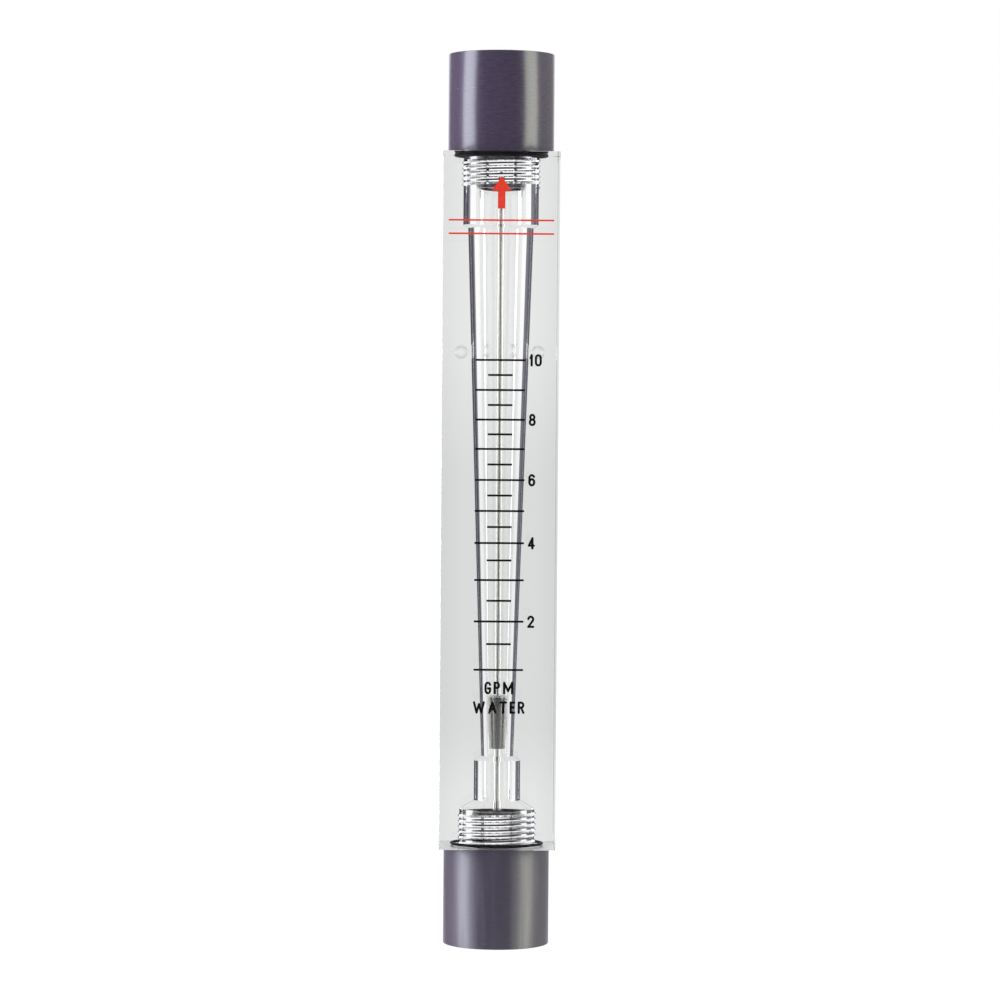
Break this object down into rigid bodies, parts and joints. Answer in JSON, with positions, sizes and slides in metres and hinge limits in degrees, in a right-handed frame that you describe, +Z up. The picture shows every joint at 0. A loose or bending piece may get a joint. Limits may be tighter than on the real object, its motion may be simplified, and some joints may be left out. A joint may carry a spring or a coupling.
{
  "type": "rotameter",
  "caption": "Clear square-block rotameter with a tapered bore, a conical float on a guide rod, and a threaded pipe fitting at each end.",
  "frame": {"origin": "centre of the lower fitting's end face", "axes": "+Z up the bore's axis with the flow, the printed front towards -Y, the mounting holes towards +Y"},
  "size_m": [0.0476, 0.0477, 0.3683],
  "materials": {
    "clear_acrylic": "polished clear acrylic, machined bore",
    "grey_pvc": "turned dark grey-purple PVC with fine lathe marks",
    "black_nitrile": "smooth black O-ring rubber",
    "stainless": "turned stainless steel",
    "black_ink": "printed black ink",
    "red_ink": "printed red ink"
  },
  "bodies": {
    "root": {"metering_body": "clear_acrylic", "lower_fitting": "grey_pvc", "lower_o_ring": "black_nitrile", "lower_rod_guide": "stainless", "lower_guide_ring": "stainless", "lower_rod_washer": "stainless", "lower_rod_nut": "stainless", "upper_fitting": "grey_pvc", "upper_o_ring": "black_nitrile", "upper_rod_guide": "stainless", "upper_guide_ring": "stainless", "upper_rod_washer": "stainless", "upper_rod_nut": "stainless", "guide_rod": "stainless", "float_stop_ring": "stainless", "upper_stop_washer": "black_nitrile", "scale_marks": "black_ink", "flow_mark": "red_ink"},
    "float": {"float": "stainless"}
  },
  "joints": [
    {"name": "float_rise", "type": "slide", "parent": "root", "child": "float", "axis": [0, 0, 1], "range_m": [0, 0.2103]}
  ]
}
